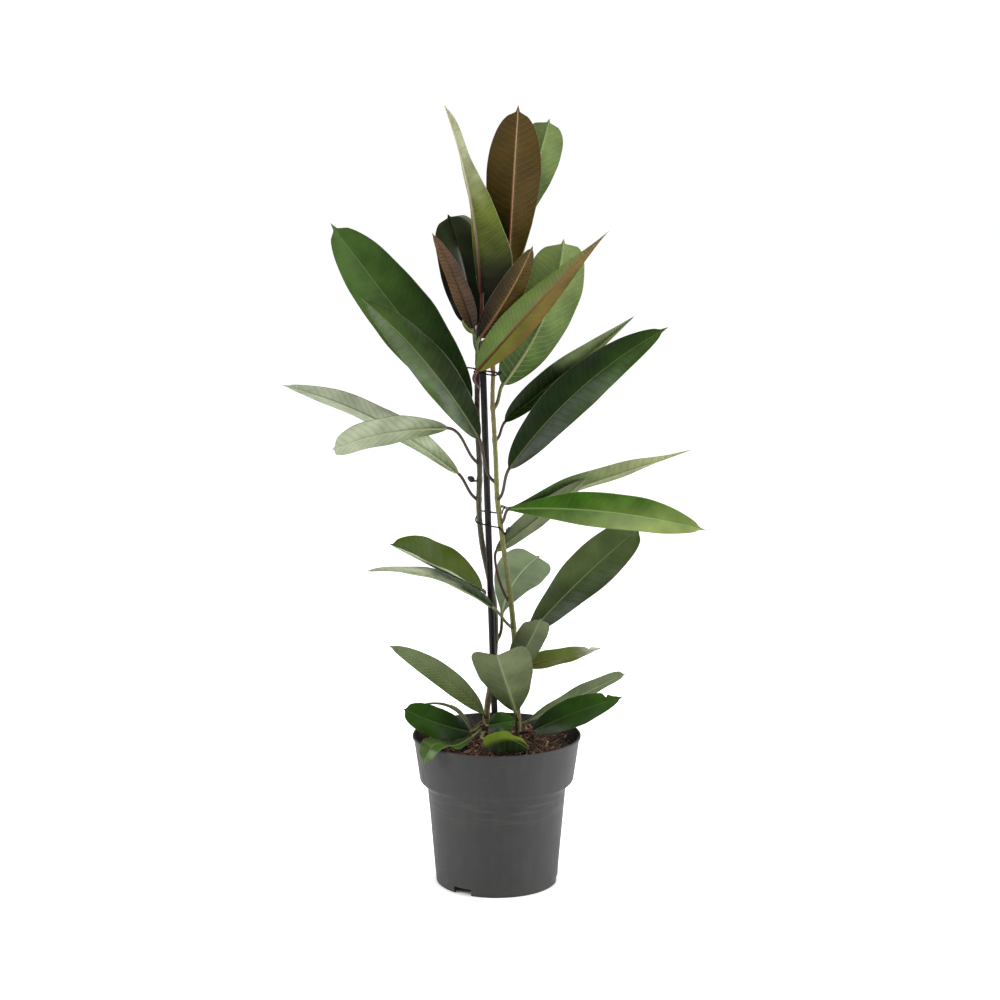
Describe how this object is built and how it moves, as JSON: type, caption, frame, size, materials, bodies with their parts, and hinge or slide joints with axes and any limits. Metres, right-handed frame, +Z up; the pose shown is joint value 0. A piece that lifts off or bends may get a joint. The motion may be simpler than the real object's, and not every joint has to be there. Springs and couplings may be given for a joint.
{
  "type": "potted ficus",
  "caption": "Potted ficus with broad glossy leaves on slender stems tied to a thin stake, in a plain tapered nursery pot with a wide collar.",
  "frame": {"origin": "centre of the pot's underside", "axes": "+Z up along the pot's axis; the picture looks along +Y with +X to its right"},
  "size_m": [0.5206, 0.2458, 0.9655],
  "materials": {
    "pot": "satin dark grey moulded plastic",
    "soil": "loose bark and fibre, matt",
    "stake": "satin black",
    "tie": "satin black coated wire",
    "stem": "smooth olive-brown bark",
    "sheath": "dry papery bud sheath",
    "leaf": "glossy dark green upper side, paler satin underside",
    "leaf_young": "young leaf, brown-olive underside with a pink midrib",
    "leaf_pale": "leaf that shows its pale satin underside",
    "leaf_bright": "glossy yellow-green leaf"
  },
  "bodies": {
    "root": {"pot": "pot", "soil": "soil", "stake": "stake", "tie_upper": "tie", "tie_lower": "tie", "stem_left": "stem", "stem_right": "stem", "sheath_crown": "sheath", "sheath_side": "sheath", "leaf_01": "leaf_pale", "leaf_02": "leaf_young", "leaf_03": "leaf_pale", "leaf_04": "leaf_young", "leaf_05": "leaf", "leaf_06": "leaf_young", "leaf_07": "leaf_young", "leaf_08": "leaf_bright", "leaf_09": "leaf_bright", "leaf_10": "leaf", "leaf_11": "leaf", "leaf_12": "leaf_pale", "leaf_13": "leaf_pale", "leaf_14": "leaf", "leaf_15": "leaf", "leaf_16": "leaf_pale", "leaf_17": "leaf_bright", "leaf_18": "leaf", "leaf_19": "leaf_pale", "leaf_20": "leaf", "leaf_21": "leaf_bright", "leaf_22": "leaf_pale", "leaf_23": "leaf", "leaf_24": "leaf", "leaf_25": "leaf_bright", "leaf_26": "leaf", "leaf_27": "leaf", "leaf_28": "leaf_bright", "leaf_29": "leaf", "leaf_30": "leaf", "leaf_31": "leaf_bright", "leaf_32": "leaf_pale", "leaf_33": "leaf"}
  },
  "joints": []
}
